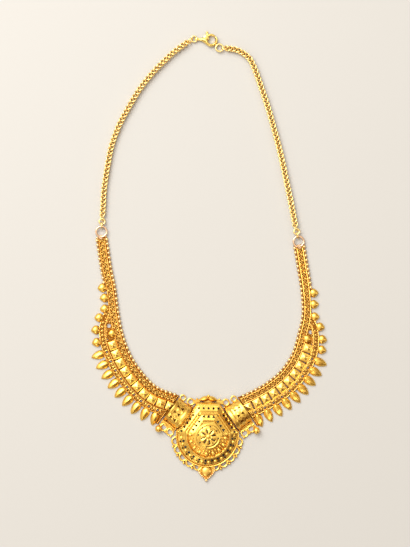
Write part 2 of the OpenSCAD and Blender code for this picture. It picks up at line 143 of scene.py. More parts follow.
def towards(a):
    """A step of length 1 in a direction, for one angle or many."""
    return np.stack([np.cos(a), np.sin(a)], axis=-1)


class Course:
    """A line that is measured by the distance along it. Its side is 1 where
    outwards is to the left of its heading, and -1 where it is to the right."""

    def __init__(self, line, side):
        self.line = line
        self.side = side
        steps = np.linalg.norm(np.diff(line, axis=0), axis=1)
        self.run = np.concatenate([[0], np.cumsum(steps)])
        self.length = self.run[-1]

    def spot(self, s):
        return np.stack([np.interp(s, self.run, self.line[:, 0]),
                         np.interp(s, self.run, self.line[:, 1])], axis=-1)

    def heading(self, s, reach=0.2):
        v = self.spot(s + reach) - self.spot(s - reach)
        return np.arctan2(v[..., 1], v[..., 0])

    def outwards(self, s):
        return self.heading(s) + self.side * math.pi / 2

    def beside(self, s, d):
        """The point at distance s along and d outwards."""
        return self.spot(s) + np.asarray(d)[..., None] * towards(self.outwards(s))

    def row(self, d, start):
        """The course of a row of ornaments, d outwards of this one."""
        steps = np.arange(start, self.length - course_end, 1.0)
        return Course(self.beside(steps, d), self.side)


def inside(points, ring):
    """Which points are inside a closed ring."""
    x, y = points[:, 0], points[:, 1]
    hit = np.zeros(len(points), bool)
    for (x0, y0), (x1, y1) in zip(ring, np.roll(ring, -1, axis=0)):
        if y0 != y1:
            hit ^= ((y0 > y) != (y1 > y)) & (x < (x1 - x0) * (y - y0) / (y1 - y0) + x0)
    return hit


def near(points, ring, gap):
    """Which points are nearer to a ring than the gap."""
    close = np.zeros(len(points), bool)
    for a, b in zip(ring, np.roll(ring, -1, axis=0)):
        d = b - a
        t = np.clip(((points - a) @ d) / max(d @ d, 1e-9), 0, 1)
        close |= np.linalg.norm(points - a - t[:, None] * d, axis=1) < gap
    return close


def ring_of(centre, radius, count, turn=0.0):
    """Points round a circle. Three of them make a triangle."""
    return np.array(centre) + radius * towards(np.arange(count) * 2 * math.pi / count + turn)


def cut_sheet(outline, holes, spacing):
    """Flat points and triangles of a sheet sawn to an outline and pierced."""
    rings = [np.asarray(ring, float) for ring in [outline, *holes]]
    low, high = rings[0].min(axis=0), rings[0].max(axis=0)
    row_step, edge_gap, hole_gap = spacing * 0.866, spacing * 0.45, spacing * 0.4
    rows = []
    for i, y in enumerate(np.arange(low[1], high[1], row_step)):
        x = np.arange(low[0] + (i % 2) * spacing / 2, high[0], spacing)
        rows.append(np.column_stack([x, np.full(len(x), y)]))
    grid = np.concatenate(rows)
    grid = grid[inside(grid, rings[0]) & ~near(grid, rings[0], edge_gap)]
    for hole in rings[1:]:
        reach = np.ptp(hole, axis=0).max() + spacing
        around = np.flatnonzero(np.linalg.norm(grid - hole.mean(axis=0), axis=1) < reach)
        drop = inside(grid[around], hole) | near(grid[around], hole, hole_gap)
        grid = np.delete(grid, around[drop], axis=0)
    edges, first = [], 0
    for ring in rings:
        n = len(ring)
        edges += [(first + i, first + (i + 1) % n) for i in range(n)]
        first += n
    coords = np.concatenate(rings + [grid])
    found = delaunay_2d_cdt([Vector(c) for c in coords], edges, [], 0, 1e-6)
    points = np.array([tuple(v) for v in found[0]])
    tris = np.array([f for f in found[2] if len(f) == 3])
    middle = points[tris].mean(axis=1)
    kept = inside(middle, rings[0])
    for hole in rings[1:]:
        kept &= ~inside(middle, hole)
    tris = tris[kept]
    ab, ac = points[tris[:, 1]] - points[tris[:, 0]], points[tris[:, 2]] - points[tris[:, 0]]
    turned = ab[:, 0] * ac[:, 1] - ab[:, 1] * ac[:, 0] < 0
    tris[turned] = tris[turned][:, ::-1]
    return points, tris


def thick(points, tris, top, bottom):
    """A closed solid between two lifted copies of a flat sheet."""
    n = len(points)
    faces = [tuple(t) for t in tris] + [(c + n, b + n, a + n) for a, b, c in tris]
    directed = {(t[i], t[(i + 1) % 3]) for t in map(tuple, tris) for i in range(3)}
    for a, b in directed:
        if (b, a) not in directed:
            faces.append((a, a + n, b + n, b))
    return np.concatenate([top, bottom]), faces


def lifted(points, z):
    return np.column_stack([points, np.broadcast_to(z, len(points))])


def sawn_plate(outline, holes, spacing, top, bottom):
    """A flat plate, sawn out and pierced, from one height to another."""
    points, tris = cut_sheet(outline, holes, spacing)
    return thick(points, tris, lifted(points, top), lifted(points, bottom))


def piece(name, parts, finish, body="necklace", sharp=38, painted_shade_from=None):
    """One mesh object from parts in millimetres, riding on a body. Its first
    part's faces from the given number on, sawn edges and back, take the
    darker plate gold as painted shade."""
    verts, faces, first = [], [], 0
    for part_verts, part_faces in parts:
        verts.append(np.asarray(part_verts, float))
        faces += [tuple(int(i) + first for i in f) for f in part_faces]
        first += len(part_verts)
    mesh = bpy.data.meshes.new(name)
    mesh.from_pydata((np.concatenate(verts) * 0.001).tolist(), [], faces)
    mesh.shade_smooth()
    mesh.set_sharp_from_angle(angle=math.radians(sharp))
    mesh.materials.append(finish)
    if painted_shade_from:
        mesh.materials.append(plate_gold_painted_shade)
        for face in mesh.polygons[painted_shade_from:len(parts[0][1])]:
            face.material_index = 1
    made = bpy.data.objects.new(name, mesh)
    bpy.context.scene.collection.objects.link(made)
    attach(made, body)
    return made


def gold_wear_and_painted_shade_group():
    """Colour, roughness and height of hand-worked gold. Its colour holds
    painted shade: places that ambient occlusion finds hidden between wires
    or in hollows are painted redder and darker, open places keep the
    brighter colour, and random patches vary the tone a little."""
    group = bpy.data.node_groups.new("gold_wear_and_painted_shade", "ShaderNodeTree")
    for label, kind, way in [
            ("Open Colour", "Color", "INPUT"), ("Painted Shade Colour", "Color", "INPUT"),
            ("Gloss Roughness", "Float", "INPUT"), ("Painted Shade Reach", "Float", "INPUT"),
            ("Grain Scale", "Float", "INPUT"), ("Color", "Color", "OUTPUT"),
            ("Roughness", "Float", "OUTPUT"), ("Height", "Float", "OUTPUT")]:
        group.interface.new_socket(label, in_out=way, socket_type="NodeSocket" + kind)
    nodes, links = group.nodes, group.links
    given = nodes.new("NodeGroupInput")
    result = nodes.new("NodeGroupOutput")
    place = nodes.new("ShaderNodeTexCoord")

    def mapped(value, from_low, from_high, to_low=0, to_high=1):
        node = nodes.new("ShaderNodeMapRange")
        node.inputs["From Min"].default_value = from_low
        node.inputs["From Max"].default_value = from_high
        node.inputs["To Min"].default_value = to_low
        node.inputs["To Max"].default_value = to_high
        links.new(value, node.inputs["Value"])
        return node.outputs["Result"]

    def joined(operation, a, b):
        node = nodes.new("ShaderNodeMath")
        node.operation = operation
        links.new(a, node.inputs[0])
        links.new(b, node.inputs[1])
        return node.outputs["Value"]

    # Painted shade: where ambient occlusion finds the surface hidden, the colour is mixed towards
    # the deep colour.
    painted_shade_ao = nodes.new("ShaderNodeAmbientOcclusion")
    painted_shade_ao.samples = 6
    links.new(given.outputs["Painted Shade Reach"], painted_shade_ao.inputs["Distance"])
    patches = nodes.new("ShaderNodeTexNoise")
    patches.inputs["Scale"].default_value = 260
    patches.inputs["Detail"].default_value = 3
    links.new(place.outputs["Object"], patches.inputs["Vector"])
    painted_shade_and_tone_mix = joined("MULTIPLY", mapped(painted_shade_ao.outputs["AO"], 0.3, 0.85),
                      mapped(patches.outputs["Fac"], 0.3, 0.7, 0.75, 1))
    colour = nodes.new("ShaderNodeMix")
    colour.data_type = "RGBA"
    links.new(painted_shade_and_tone_mix, colour.inputs["Factor"])
    links.new(given.outputs["Painted Shade Colour"], colour.inputs["A"])
    links.new(given.outputs["Open Colour"], colour.inputs["B"])
    links.new(colour.outputs["Result"], result.inputs["Color"])
    grain = nodes.new("ShaderNodeTexNoise")
    grain.inputs["Detail"].default_value = 4
    grain.inputs["Roughness"].default_value = 0.6
    links.new(place.outputs["Object"], grain.inputs["Vector"])
    links.new(given.outputs["Grain Scale"], grain.inputs["Scale"])
    links.new(grain.outputs["Fac"], result.inputs["Height"])
    roughness = joined("ADD", mapped(grain.outputs["Fac"], 0.25, 0.75, -0.06, 0.12),
                       given.outputs["Gloss Roughness"])
    links.new(roughness, result.inputs["Roughness"])
    return group


gold_wear_and_painted_shade = gold_wear_and_painted_shade_group()


def gold_finish(name, open_colour, painted_shade_colour, roughness, reach, grain_scale, grain_depth):
    """A gold that is all metal, with its own tint, gloss and grain, and a darker deep colour
    painted into hidden places as shade.
    """
    finish = bpy.data.materials.new(name)
    finish.use_nodes = True
    nodes, links = finish.node_tree.nodes, finish.node_tree.links
    shader = nodes["Principled BSDF"]
    shader.inputs["Metallic"].default_value = 1
    wear = nodes.new("ShaderNodeGroup")
    wear.node_tree = gold_wear_and_painted_shade
    wear.inputs["Open Colour"].default_value = (*open_colour, 1)
    wear.inputs["Painted Shade Colour"].default_value = (*painted_shade_colour, 1)
    wear.inputs["Gloss Roughness"].default_value = roughness
    wear.inputs["Painted Shade Reach"].default_value = reach
    wear.inputs["Grain Scale"].default_value = grain_scale
    links.new(wear.outputs["Color"], shader.inputs["Base Color"])
    links.new(wear.outputs["Roughness"], shader.inputs["Roughness"])
    bump = nodes.new("ShaderNodeBump")
    bump.inputs["Strength"].default_value = 0.6
    bump.inputs["Distance"].default_value = grain_depth
    links.new(wear.outputs["Height"], bump.inputs["Height"])
    links.new(bump.outputs["Normal"], shader.inputs["Normal"])
    return finish


# The plate gold is much darker than the other golds. It is painted shade for the sheet between the
# wires, and for sawn edges and backs.
plate_gold_painted_shade = gold_finish("plate_gold_painted_shade", (0.42, 0.16, 0.02), (0.1, 0.025, 0.003), roughness=0.45,
                         reach=0.0014, grain_scale=1500, grain_depth=0.00006)

middle_shift = np.array([-1.5, -0.2])
wing_routes = {
    "left": [(-47, 9.5), (-45, -4.5), (-43, -14.5), (-41.5, -26), (-39.5, -36), (-36, -45.5),
             (-30.5, -54), (-23.5, -61), (-15, -64.5), (-6.5, -68)],
    "right": [(41.5, 5.5), (43.5, -6.5), (45, -16.5), (45.5, -27), (43.5, -36.5), (40.5, -46),
              (35, -54), (27.5, -60), (19, -64.5), (10.5, -68)]}
sides = {"left": -1, "right": 1}
courses = {name: Course(smooth_line(wing_routes[name] + middle_shift), side)
           for name, side in sides.items()}
outer_edge_s = [0, 20.5, 22.5, 32.5, 36.5, 41, 46, 50, 130]
outer_edge_d = [4.85, 4.85, 4.1, 4.1, 7.6, 9.9, 11, 11.3, 11.3]
centre_at = np.array([0.35, -83.8]) + middle_shift
centre_turn = math.radians(-1.5)
sleeve_turn = math.radians(35.5)
sleeve_from, sleeve_to = 13.5, 21.5


def outer_edge(s):
    return np.interp(s, outer_edge_s, outer_edge_d)


def on_centre(points):
    """From the centrepiece's own axes to the necklace's."""
    p = np.array(points, float)
    x, y = p[:, 0].copy(), p[:, 1].copy()
    p[:, 0] = centre_at[0] + x * math.cos(centre_turn) - y * math.sin(centre_turn)
    p[:, 1] = centre_at[1] + x * math.sin(centre_turn) + y * math.cos(centre_turn)
    return p


def off_centre(points):
    """From the necklace's axes to the centrepiece's own."""
    p = np.array(points, float) - centre_at
    return np.column_stack([p[:, 0] * math.cos(centre_turn) + p[:, 1] * math.sin(centre_turn),
                            p[:, 1] * math.cos(centre_turn) - p[:, 0] * math.sin(centre_turn)])


def beside_dome(points, side):
    """From a sleeve's axes, along it and across it, to the necklace's."""
    u, t = np.asarray(points, float).T
    return on_centre(np.column_stack([
        side * (u * math.cos(sleeve_turn) - t * math.sin(sleeve_turn)),
        u * math.sin(sleeve_turn) + t * math.cos(sleeve_turn)]))


def along_sleeve(points, side):
    """How far points are from the centre along a sleeve's axis."""
    p = off_centre(points)
    return p[:, 0] * side * math.cos(sleeve_turn) + p[:, 1] * math.sin(sleeve_turn)


def cut_at_sleeve(ring, side, limit):
    """The part of a ring that is further out than the sleeve's end."""
    far = along_sleeve(ring, side) - limit
    kept = []
    for i in range(len(ring)):
        j = (i + 1) % len(ring)
        if far[i] > 0:
            kept.append(ring[i])
        if (far[i] > 0) != (far[j] > 0):
            kept.append(ring[i] + (ring[j] - ring[i]) * far[i] / (far[i] - far[j]))
    return np.array(kept)


def keyhole(spot, out):
    """A narrow sawn slot with a drilled eye at its outer end."""
    slot_from, slot_half, eye_at, eye_r = -1.5, 0.12, 1.25, 0.36
    a = np.radians(np.linspace(-160, 160, 9))
    along = np.concatenate([[slot_from], eye_at + eye_r * np.cos(a), [slot_from]])
    across = np.concatenate([[-slot_half], eye_r * np.sin(a), [slot_half]])
    return spot + along[:, None] * out + across[:, None] * np.array([-out[1], out[0]])


square_pitch, square_d, square_count = 4.55, 5.9, 10
leaf_pitch, leaf_d, leaf_count = 5.1, 13.7, 9
leaf_foot, leaf_eye_r = 4.2, 0.42
first_square_s = {"left": 49.75, "right": 47.55}
first_leaf_s = {"left": 51.5, "right": 51.1}
fork_s, fork_d = {"left": 44.8, "right": 43.6}, 4.6
fork_gaps = [(-3.6, 5.3, 1), (1.8, 7.5, 0.55)]  # along, outwards, radius
pin_count, first_pin_s, pin_pitch, pin_d, pin_r = 13, 4, 4.5, 2.25, 0.3
inner_edge_d, sheet_top, tongue_top = -0.35, 0.55, 0.5
square_rows = {name: courses[name].row(square_d, first_square_s[name]) for name in sides}
leaf_rows = {name: courses[name].row(leaf_d, first_leaf_s[name]) for name in sides}
tongue = [(sleeve_from + 0.35, -4.6), (sleeve_to + 0.6, -4.6),
          (sleeve_to + 0.6, 4.6), (sleeve_from + 0.35, 4.6)]
wing_corner = [(sleeve_to + 0.3, -4.5), (sleeve_to + 0.3, -9.6), (sleeve_to + 1.3, -9.8),
               (sleeve_to + 2.6, -8), (sleeve_to + 3, -4.5)]
wing_outlines = {}
for name, side in sides.items():
    course, squares, leaves = courses[name], square_rows[name], leaf_rows[name]
    steps = np.arange(0, course.length - course_end, 1.5)
    outline = np.concatenate([course.beside(steps, inner_edge_d),
                              course.beside(steps[::-1], outer_edge(steps[::-1]))])
    outline = cut_at_sleeve(outline, side, sleeve_to + 0.3)
    wing_outlines[name] = outline
    holes = [ring_of(course.beside(fork_s[name] + on, d), r, 16) for on, d, r in fork_gaps]
    for k in range(square_count - 1):
        s = (k + 0.5) * square_pitch
        holes.append(keyhole(squares.spot(s), towards(squares.outwards(s))))
    for k in range(leaf_count):
        holes.append(ring_of(leaves.beside(k * leaf_pitch, -leaf_foot), leaf_eye_r, 10))
    for k in range(pin_count):
        holes.append(ring_of(course.beside(first_pin_s + pin_pitch * k, pin_d), pin_r, 6))
    plates = [sawn_plate(outline, holes, spacing=0.9, top=sheet_top, bottom=0)]
    for shape in (tongue, wing_corner):
        shape = beside_dome(shape, side)
        plates.append(sawn_plate(shape, [], spacing=3, top=tongue_top, bottom=0))
    # The wing's sheet takes the darker plate gold, painted shade between the wires.
    made = piece(f"wing_sheet_{name}", plates, plate_gold_painted_shade)
    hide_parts(f"wing_{name}")


# Grain beads. A single row of round gold grains along the whole inner edge
# and a short one along the upper outer edge, melted from scrap gold and
# soldered side by side on a thin wire.
def ball(rings, around):
    """A unit ball."""
    verts, faces = [(0, 0, 1)], []
    for i in range(1, rings):
        a = math.pi * i / rings
        for k in range(around):
            b = 2 * math.pi * k / around
            verts.append((math.sin(a) * math.cos(b), math.sin(a) * math.sin(b), math.cos(a)))
    verts.append((0, 0, -1))
    last, n = len(verts) - 1, around
    for k in range(n):
        j = (k + 1) % n
        faces.append((0, 1 + k, 1 + j))
        for i in range(rings - 2):
            a = 1 + i * n
            faces.append((a + k, a + n + k, a + n + j, a + j))
        faces.append((last, last - n + j, last - n + k))
    return np.array(verts, float), faces


def stamped(shape, spots):
    """Copies of a shape, one for each (x, y, z, size, turn) spot."""
    verts, faces = shape
    all_verts, all_faces = [], []
    for i, (x, y, z, size, turn) in enumerate(spots):
        c, s = math.cos(turn), math.sin(turn)
        v = verts * size
        all_verts.append(np.column_stack([x + v[:, 0] * c - v[:, 1] * s,
                                          y + v[:, 0] * s + v[:, 1] * c, z + v[:, 2]]))
        first = i * len(verts)
        all_faces += [tuple(k + first for k in f) for f in faces]
    return np.concatenate(all_verts), all_faces


def spots_on(points, z, size):
    """Spots for stamped() at one point or more, all of one height and size."""
    return [(x, y, z, size, 0) for x, y in np.atleast_2d(points)]


def wire(path, radius, corners, closed=False, rise=1.0):
    """A wire swept along a path, round or higher than it is wide."""
    path = np.asarray(path, float)
    n = len(path)
    if closed:
        ahead = np.roll(path, -1, axis=0) - np.roll(path, 1, axis=0)
    else:
        ahead = np.gradient(path, axis=0)
    ahead /= np.linalg.norm(ahead, axis=1)[:, None]
    up = np.where(np.abs(ahead[:, 2:3]) > 0.9, [[1.0, 0, 0]], [[0, 0, 1.0]])
    aside = np.cross(up, ahead)
    aside /= np.linalg.norm(aside, axis=1)[:, None]
    over = np.cross(ahead, aside)
    radius = np.broadcast_to(radius, n)[:, None, None]
    rise = np.broadcast_to(rise, n)[:, None, None]
    a = np.arange(corners) * 2 * math.pi / corners
    verts = path[:, None] + radius * (np.cos(a)[None, :, None] * aside[:, None]
                                      + rise * np.sin(a)[None, :, None] * over[:, None])
    faces = []
    for i in range(n if closed else n - 1):
        j = (i + 1) % n
        for k in range(corners):
            m = (k + 1) % corners
            faces.append((i * corners + k, i * corners + m, j * corners + m, j * corners + k))
    if not closed:
        faces.append(tuple(range(corners - 1, -1, -1)))
        faces.append(tuple((n - 1) * corners + k for k in range(corners)))
    return verts.reshape(-1, 3), faces


def short_of_sleeve(course, s, d, gap):
    """The places of a row that lie clear of the sleeve by the gap."""
    return s[along_sleeve(course.beside(s, d), course.side) > sleeve_to + gap]


bead_gold = gold_finish("bead_gold", (1, 0.76, 0.36), (0.7, 0.32, 0.09), roughness=0.3,
                        reach=0.0006, grain_scale=900, grain_depth=0.00001)
bead_r, bead_pitch, bead_z, first_bead_s = 0.76, 2.16, 0.85, 1.3
upper_count, upper_d = 10, 4.5
end_bead_d, end_bead_z, end_bead_r = (0.2, 4.3), 0.9, 0.5
thread_r, thread_z, thread_step = 0.16, 0.5, 0.8
bead = ball(8, 14)
for name, course in courses.items():
    s = np.arange(first_bead_s, course.length, bead_pitch)
    s = short_of_sleeve(course, s, 0, 0.9)
    upper = first_bead_s + bead_pitch * np.arange(upper_count)
    spots = (spots_on(course.beside(s, 0), bead_z, bead_r)
             + spots_on(course.beside(upper, upper_d), bead_z, bead_r)
             + spots_on(course.beside(0.1, end_bead_d), end_bead_z, end_bead_r))
    threads = []
    for end, d in [(s[-1], 0), (upper[-1] + 0.6, upper_d)]:
        path = course.beside(np.arange(thread_step, end, thread_step), d)
        threads.append(wire(lifted(path, thread_z), thread_r, 6))
    piece(f"grain_beads_{name}", [stamped(bead, spots)] + threads, bead_gold)


# Filigree bands of fine gold wire, soldered flat on the sheet: an inner one
# along the whole wing and an outer one beside the leaves. Twisted wires
# border them. Wavy wire and ringed grains fill them.
def twisted(course, s0, s1, d_at, z, strand, twist=1.15):
    """Two strands of wire twisted round each other along a course."""
    s = np.arange(s0, s1, twist / 7)
    turn = 2 * math.pi * s / twist
    off = strand * 0.95
    return [wire(lifted(course.beside(s, d_at(s) + off * np.cos(turn + half)),
                        z + off * np.sin(turn + half)), strand, 5)
            for half in (0, math.pi)]


def wire_ring(radius, thickness, around, corners):
    return wire(lifted(ring_of((0, 0), radius, around), 0), thickness, corners, closed=True)


band_gold = gold_finish("band_gold", (1, 0.66, 0.16), (0.62, 0.19, 0.015), roughness=0.32,
                        reach=0.0006, grain_scale=1500, grain_depth=0.00003)
curl = wire_ring(0.5, 0.12, 12, 5)
wide_curl = wire_ring(0.8, 0.16, 14, 5)
seed = ball(5, 8)
curl_z, in_curl_z, seed_z, low_seed_z = 0.74, 0.85, 0.75, 0.72
border_z, strand_r = 0.8, 0.19
band_borders = [(0.4, lambda s: 0.95), (0.4, lambda s: 3.6),  # start, how far outwards
                (37, lambda s: outer_edge(s) - 2.95), (34, lambda s: outer_edge(s) - 0.4)]
wave_length, wave_d, wave_height, wave_z, wave_wire = 2.9, 2.28, 0.55, 0.95, 0.2
wave_bends = [(1.66, 0.25), (2.92, 0.75)]  # outwards, share of a wave
outer_from, outer_curl_pitch, outer_curl_size = 38, 1.7, 1.15
foot_seeds = [(0.85, -0.68), (0.85, 0.68), (0.4, -0.95), (0.4, 0.95)]
fork_curls = [(-10.9, 4.35, 0.7), (-9.6, 4.5, 1), (-8.9, 5.6, 0.8), (-8.2, 4.45, 0.9),
              (-6.7, 4.5, 1.15), (-5.2, 4.3, 0.8), (-5.4, 5.7, 0.9), (-7.2, 5.9, 0.7),
              (-3.2, 6.75, 0.8), (-1.2, 6.9, 0.85), (3.2, 4.3, 0.8), (3.5, 6.9, 0.8),
              (0.9, 7.9, 0.7), (3.1, 8.2, 0.7)]  # along, outwards, size
for name, side in sides.items():
    course, leaves, outline = courses[name], leaf_rows[name], wing_outlines[name]
    last = course.length - 1
    parts, curls, wide_curls, seeds = [], [], [], []
    for s0, d_at in band_borders:
        s = np.arange(s0, last, 0.2)
        s = short_of_sleeve(course, s, d_at(s), 0.6)
        parts += twisted(course, s0, s[-1], d_at, border_z, strand_r)
    # The inner band: a wavy wire, a ringed grain in each bend, small seeds.
    s = short_of_sleeve(course, np.arange(0.7, last, 0.3), wave_d, 0.6)
    wave = course.beside(s, wave_d + wave_height * np.sin(2 * math.pi * s / wave_length))
    parts.append(wire(lifted(wave, wave_z), wave_wire, 6))
    for d, bend in wave_bends:
        s = wave_length * (np.arange(40) + bend)
        in_bends = course.beside(short_of_sleeve(course, s[s < last], d, 0.9), d)
        curls += spots_on(in_bends, curl_z, 1)
        seeds += spots_on(in_bends, in_curl_z, 0.37)
    s = wave_length * (np.arange(80) + 0.5) / 2
    s = short_of_sleeve(course, s[s < last], 1.5, 0.9)
    for d in (1.45, 3.1):
        seeds += spots_on(course.beside(s, d), low_seed_z, 0.24)
    # The outer band, above the leaves and then between their feet.
    s = np.arange(first_leaf_s[name] - outer_curl_pitch, outer_from, -outer_curl_pitch)
    above_leaves = course.beside(s, outer_edge(s) - 1.68)
    curls += spots_on(above_leaves, curl_z, outer_curl_size)
    seeds += spots_on(above_leaves, in_curl_z, 0.36)
    s = np.arange(first_leaf_s[name] - 0.85, outer_from, -0.85)
    for inset in (1.0, 2.36):
        seeds += spots_on(course.beside(s, outer_edge(s) - inset), seed_z, 0.24)
    for k in range(3 * leaf_count - 1):
        s = k * leaf_pitch / 3
        foot = leaves.beside(s, -leaf_foot)
        if along_sleeve(foot[None], side)[0] < sleeve_to + 1.2:
            continue
        if k % 3:
            curls += spots_on(foot, curl_z, outer_curl_size)
            seeds += spots_on(foot, in_curl_z, 0.36)
        else:
            wide_curls += spots_on(foot, curl_z, 1)
        for on, d in foot_seeds:
            seeds += spots_on(leaves.beside(s + on, d - leaf_foot), seed_z, 0.25)
    # The fork between the bands, with its two arms and round its stud.
    for on, d, size in fork_curls:
        at = course.beside(fork_s[name] + on, d)
        curls += spots_on(at, curl_z, size)
        seeds += spots_on(at, in_curl_z, 0.34 * size)
    s = fork_s[name] + np.arange(-7, 4.4, 0.85)
    fork_seeds = spots_on(course.beside(s, outer_edge(s) - 3.55), low_seed_z, 0.3)
    round_fork = ring_of(course.beside(fork_s[name], fork_d), 2.42, 18)
    fork_seeds += spots_on(round_fork, low_seed_z, 0.26)
    # A row of seeds that closes the wing at the sleeve.
    t = np.arange(-14, 9, 0.78)
    closing = beside_dome(np.column_stack([np.full(len(t), sleeve_to + 0.85), t]), side)
    on_sheet = inside(closing, outline) & ~near(closing, outline, 0.4)
    on_corner = inside(closing, beside_dome(wing_corner, side))
    seeds += spots_on(closing[(on_sheet | on_corner) & (abs(t) > 3)], seed_z, 0.36) + fork_seeds
    parts += [stamped(curl, curls), stamped(wide_curl, wide_curls), stamped(seed, seeds)]
    piece(f"filigree_bands_{name}", parts, band_gold)


# Stamped squares. Ten small square plates in a row on each wing, struck from
# thin gold sheet with a raised lip and a boss, and soldered on between the
# slots.
def pillow(half):
    """A square plate with a raised lip and a small square boss, and a skirt
    down to the wing's sheet."""
    boss_half, boss_height, boss_curve, skirt_z = 0.56, 0.64, 1.4, 0.5
    lip = ([0, 0.56, 0.76, 0.86, 0.95, 1], [1.28, 1.25, 1.2, 1.1, 1.3, 1])
    half_lines = np.array([0.2, 0.4, 0.56, 0.76, 0.86, 0.95, 1])
    lines = np.concatenate([-half_lines[::-1], [0], half_lines])
    n = len(lines)
    x, y = np.meshgrid(lines, lines, indexing="ij")
    boss_x, boss_y = (np.clip(1 - abs(v / boss_half) ** boss_curve, 0, 1) for v in (x, y))
    z = np.interp(np.maximum(abs(x), abs(y)), *lip) + boss_height * boss_x * boss_y
    top = np.column_stack([x.ravel() * half, y.ravel() * half, z.ravel()])
    rim = ([i * n for i in range(n)] + [(n - 1) * n + j for j in range(1, n)]
           + [i * n + n - 1 for i in range(n - 2, -1, -1)] + list(range(n - 2, 0, -1)))
    skirt = top[rim] * [1, 1, 0] + [0, 0, skirt_z]
    faces = [(a, a + n, a + n + 1, a + 1)
             for i in range(n - 1) for a in range(i * n, i * n + n - 1)]
    for i, a in enumerate(rim):
        j = (i + 1) % len(rim)
        faces.append((n * n + i, n * n + j, rim[j], a))
    return np.concatenate([top, skirt]), faces


pale_gold = gold_finish("pale_gold", (1, 0.71, 0.17), (0.6, 0.22, 0.02), roughness=0.3,
                        reach=0.0007, grain_scale=1200, grain_depth=0.00002)
square = pillow(half=2.1)
for name, squares in square_rows.items():
    along = square_pitch * np.arange(square_count)
    spots = [(*spot, 0, 1, turn) for spot, turn in zip(squares.spot(along), squares.heading(along))]
    piece(f"stamped_squares_{name}", [stamped(square, spots)], pale_gold, sharp=40)


# Leaves. Pointed leaves stand out from the outer edge, each pressed from
# gold sheet into a keel with a raised midrib between two soft folds, and
# soldered on by its foot under three small grains.
def leaf_shape(length, half):
    """A leaf along +X from its foot, with its underside flat."""
    along, across = 16, 12
    under_z, edge_z, keel, fold = 0.12, 0.4, 1.5, 0.12
    verts, faces = [], []
    for under in (False, True):
        for i in range(along + 1):
            u = min(max(i / along, 0.004), 0.996)
            w = half * 3.98 / 1.8 * u ** 0.45 * (1 - u) ** 0.72  # widest nearer the foot
            for k in range(across + 1):
                v = 2 * k / across - 1
                z = edge_z + keel * (w / half) ** 0.9 * (1 - abs(v) ** 1.5) ** 0.8
                z -= fold * math.exp(-((abs(v) * w - 0.45) / 0.2) ** 2) * w / half
                verts.append(((i / along - 0.5) * length, v * w, under_z if under else z))
    row = across + 1
    n = (along + 1) * row
    for i in range(along):
        for k in range(across):
            a = i * row + k
            faces.append((a, a + row, a + row + 1, a + 1))
            faces.append((a + n, a + n + 1, a + n + row + 1, a + n + row))
        for a, b in [(i * row, (i + 1) * row), ((i + 1) * row + across, i * row + across)]:
            faces.append((b, a, a + n, b + n))
    for k in range(across):
        faces.append((k + 1 + n, k + n, k, k + 1))
        a = along * row + k
        faces.append((a + n, a + 1 + n, a + 1, a))
    return np.array(verts, float), [f[::-1] for f in faces]


bright_gold = gold_finish("bright_gold", (1, 0.67, 0.14), (0.55, 0.18, 0.015), roughness=0.3,
                          reach=0.001, grain_scale=1200, grain_depth=0.00003)
foot_grain_at, foot_grain_z, foot_grain_r = 3.1, 1.0, 0.34
leaf = leaf_shape(length=6.8, half=1.98)
for name, leaves in leaf_rows.items():
    spots, grains = [], []
    for k in range(leaf_count):
        x, y = leaves.spot(k * leaf_pitch)
        turn = leaves.outwards(k * leaf_pitch)
        spots.append((x, y, 0, 1, turn))
        for shift in (-0.75, 0, 0.75):
            grains.append((x - foot_grain_at * math.cos(turn) - shift * math.sin(turn),
                           y - foot_grain_at * math.sin(turn) + shift * math.cos(turn),
                           foot_grain_z, foot_grain_r, 0))
    piece(f"leaves_{name}", [stamped(leaf, spots), stamped(seed, grains)], bright_gold)


# Studs. Six round studs on the outer edge above the leaves and one in the
# fork between the bands, domed from gold sheet, drawn to a soft point
# outwards and soldered on.
def stud_shape(radius, height):
    """A dome, round on its inner side and drawn to a soft point outwards."""
    rings, around = 7, 20
    verts, faces = [], []
    for i in range(rings):
        a = math.pi / 2 * i / (rings - 0.4)
        for k in range(around):
            b = 2 * math.pi * k / around
            tip = max(0, math.cos(b))
            power = 2.2 - 0.75 * min(1, 2 * tip)
            bulge = (abs(math.cos(b)) ** power + abs(math.sin(b)) ** power) ** (-1 / power)
            r = radius * math.cos(a) * bulge * (1 + 0.1 * tip ** 3)
            verts.append((r * math.cos(b), r * math.sin(b), height * math.sin(a)))
    verts.append((0, 0, height))
    for k in range(around):
        j = (k + 1) % around
        for i in range(rings - 1):
            a = i * around
            faces.append((a + k, a + j, a + around + j, a + around + k))
        faces.append(((rings - 1) * around + k, (rings - 1) * around + j, len(verts) - 1))
    faces.append(tuple(range(around - 1, -1, -1)))
    return np.array(verts, float), faces


stud = stud_shape(radius=2.12, height=1.6)
stud_s = np.array([23.3, 28.4, 33.4, 36.9, 41.9, 46.6])
stud_d = np.array([5.7, 5.4, 5.9, 9.1, 11.6, 12.6])
stud_z, fork_stud_z, fork_stud_size = 0.25, 0.45, 0.97
for name, course in courses.items():
    flat = course.beside(stud_s, stud_d)
    spots = [(x, y, stud_z, 1, turn) for (x, y), turn in zip(flat, course.outwards(stud_s))]
    spots.append((*course.beside(fork_s[name], fork_d), fork_stud_z, fork_stud_size,
                  course.outwards(fork_s[name])))
    piece(f"round_studs_{name}", [stamped(stud, spots)], bright_gold, sharp=30)


